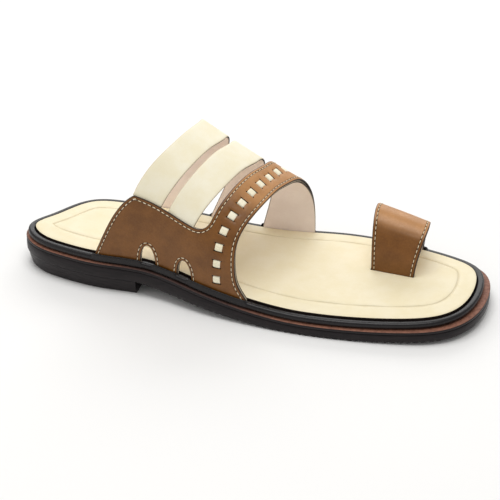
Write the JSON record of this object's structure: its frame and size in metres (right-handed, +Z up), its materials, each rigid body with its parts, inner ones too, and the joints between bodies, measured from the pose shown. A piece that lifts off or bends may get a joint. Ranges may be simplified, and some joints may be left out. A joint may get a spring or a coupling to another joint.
{
  "type": "slipper",
  "caption": "Right-foot open slipper with cream straps, a brown quarter, a laced front strap and a big-toe loop on a padded insole and low-heeled sole.",
  "frame": {"origin": "middle of the heel's flat face, on the floor", "axes": "+X along the foot towards the toe, +Y towards the big-toe side, +Z up"},
  "size_m": [0.2974, 0.1085, 0.0993],
  "materials": {
    "outsole": "dark brown, satin, fine horizontal rubbing marks",
    "midsole": "reddish brown, matt, rough cut edge and ledge",
    "heel": "dark brown, satin",
    "insole": "cream, soft sheen, fine grain",
    "binding": "black, glossy, slightly puckered",
    "upper": "cream outside with soft sheen, grey-beige lining, dark painted edges",
    "overlay": "tan brown, soft sheen, cream stitching, dark painted edges",
    "lace": "cream, soft sheen",
    "toe_loop": "tan brown, soft sheen, cream stitching, dark painted edges"
  },
  "bodies": {
    "root": {"outsole": "outsole", "midsole": "midsole", "heel": "heel", "insole": "insole", "binding": "binding", "upper": "upper", "overlay": "overlay", "lace": "lace", "toe_loop": "toe_loop"}
  },
  "joints": []
}
